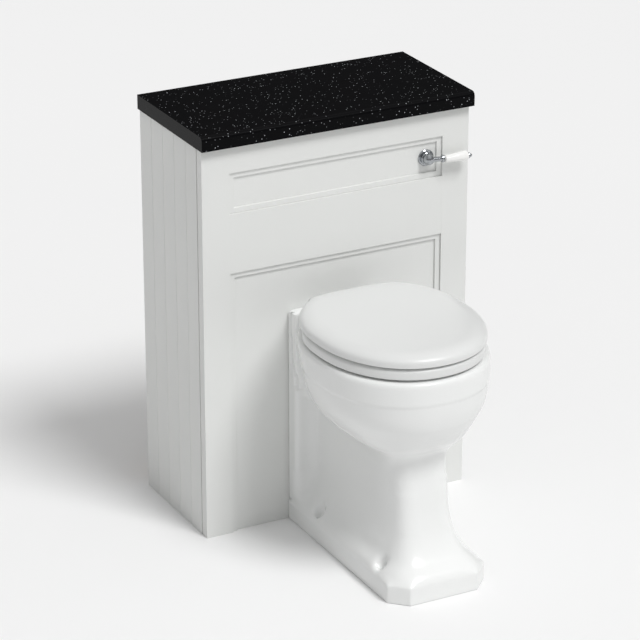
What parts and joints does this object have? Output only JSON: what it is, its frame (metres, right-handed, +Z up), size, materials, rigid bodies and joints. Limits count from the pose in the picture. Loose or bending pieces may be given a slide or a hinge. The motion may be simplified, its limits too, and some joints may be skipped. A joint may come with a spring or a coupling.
{
  "type": "back to wall toilet unit",
  "caption": "Freestanding white cabinet with a black stone top and a side flush lever hides the cistern; a china pan with seat and lid stands against its front.",
  "frame": {"origin": "on the floor, under the middle of the unit's box, on its middle plane", "axes": "+Z up, +Y towards the wall behind the unit, so its front faces -Y and the lever is at +X"},
  "size_m": [0.61, 0.735, 0.87],
  "materials": {
    "painted_board": "satin white paint",
    "bare_board": "bare board",
    "block_plastic": "moulded",
    "steel": "zinc plated",
    "black_stone": "polished black with fine pale flecks",
    "china": "glossy white glaze",
    "porcelain": "glossy white glaze",
    "seat_paint": "satin white paint",
    "chrome": "polished",
    "brass": "plain",
    "rubber": "matt",
    "cistern_plastic": "moulded"
  },
  "bodies": {
    "unit": {"left_side_panel": "painted_board", "right_side_panel": "painted_board", "left_stile": "painted_board", "right_stile": "painted_board", "head_rail": "painted_board", "mid_rail": "painted_board", "upper_panel": "painted_board", "lower_panel": "painted_board", "upper_bead": "painted_board", "lower_bead": "painted_board", "frame_dowels": "bare_board", "top_back_rail": "bare_board", "low_back_rail": "bare_board", "front_stretcher": "bare_board", "corner_blocks": "block_plastic", "corner_block_screws": "steel", "cistern_screws": "steel", "hinge_bolts": "steel", "pan": "china", "hinge_posts": "chrome", "hinge_pins": "chrome", "lever_rose": "chrome", "lever_bush": "brass", "lever_backnut": "brass", "hinge_plugs": "rubber", "spindle_grommet": "rubber", "siphon_washer": "rubber", "fill_washer": "rubber", "flush_cone": "rubber", "soil_seal": "rubber", "cistern_tank": "cistern_plastic", "cistern_lid": "cistern_plastic", "siphon_body": "cistern_plastic", "siphon_backnut": "cistern_plastic", "flush_pipe": "cistern_plastic", "flush_pipe_nut": "cistern_plastic", "soil_connector": "cistern_plastic", "fill_valve": "cistern_plastic", "fill_backnut": "cistern_plastic"},
    "seat": {"seat_ring": "seat_paint", "seat_buffers": "rubber"},
    "lid": {"lid": "seat_paint", "lid_buffers": "rubber"},
    "lever": {"lever_arm": "chrome", "lever_ferrule": "chrome", "lever_grip": "porcelain", "lever_stud": "brass", "lever_finial": "chrome", "lever_spindle": "brass", "crank_arm": "brass"},
    "piston": {"piston_rod": "steel", "piston_plate": "cistern_plastic", "piston_flap": "rubber", "lift_link": "cistern_plastic"},
    "float": {"float_arm": "brass", "float_cup": "cistern_plastic"},
    "worktop": {"worktop": "black_stone", "worktop_battens": "bare_board", "batten_screws": "steel"}
  },
  "joints": [
    {"name": "seat_hinge", "type": "hinge", "parent": "unit", "child": "seat", "pos_m": [0, 0.0245, 0.487], "axis": [-1, 0, 0], "range_deg": [0, 91]},
    {"name": "lid_hinge", "type": "hinge", "parent": "seat", "child": "lid", "pos_m": [0, 0.0245, 0.487], "axis": [1, 0, 0], "range_deg": [-91, 0]},
    {"name": "lever_turn", "type": "hinge", "parent": "unit", "child": "lever", "pos_m": [0.205, 0.0905, 0.739], "axis": [0, 1, 0], "range_deg": [0, 25]},
    {"name": "piston_lift", "type": "slide", "parent": "unit", "child": "piston", "axis": [0, 0, 1], "range_m": [0, 0.06072]},
    {"name": "float_swing", "type": "hinge", "parent": "unit", "child": "float", "pos_m": [-0.177, 0.2825, 0.712], "axis": [0, -1, 0], "range_deg": [0, 40]},
    {"name": "worktop_lift", "type": "slide", "parent": "unit", "child": "worktop", "axis": [0, 0, 1], "range_m": [0, 0.12]}
  ],
  "couplings": [
    {"joint": "piston_lift", "follows": "lever_turn", "m_per_rad": 0.13893}
  ]
}
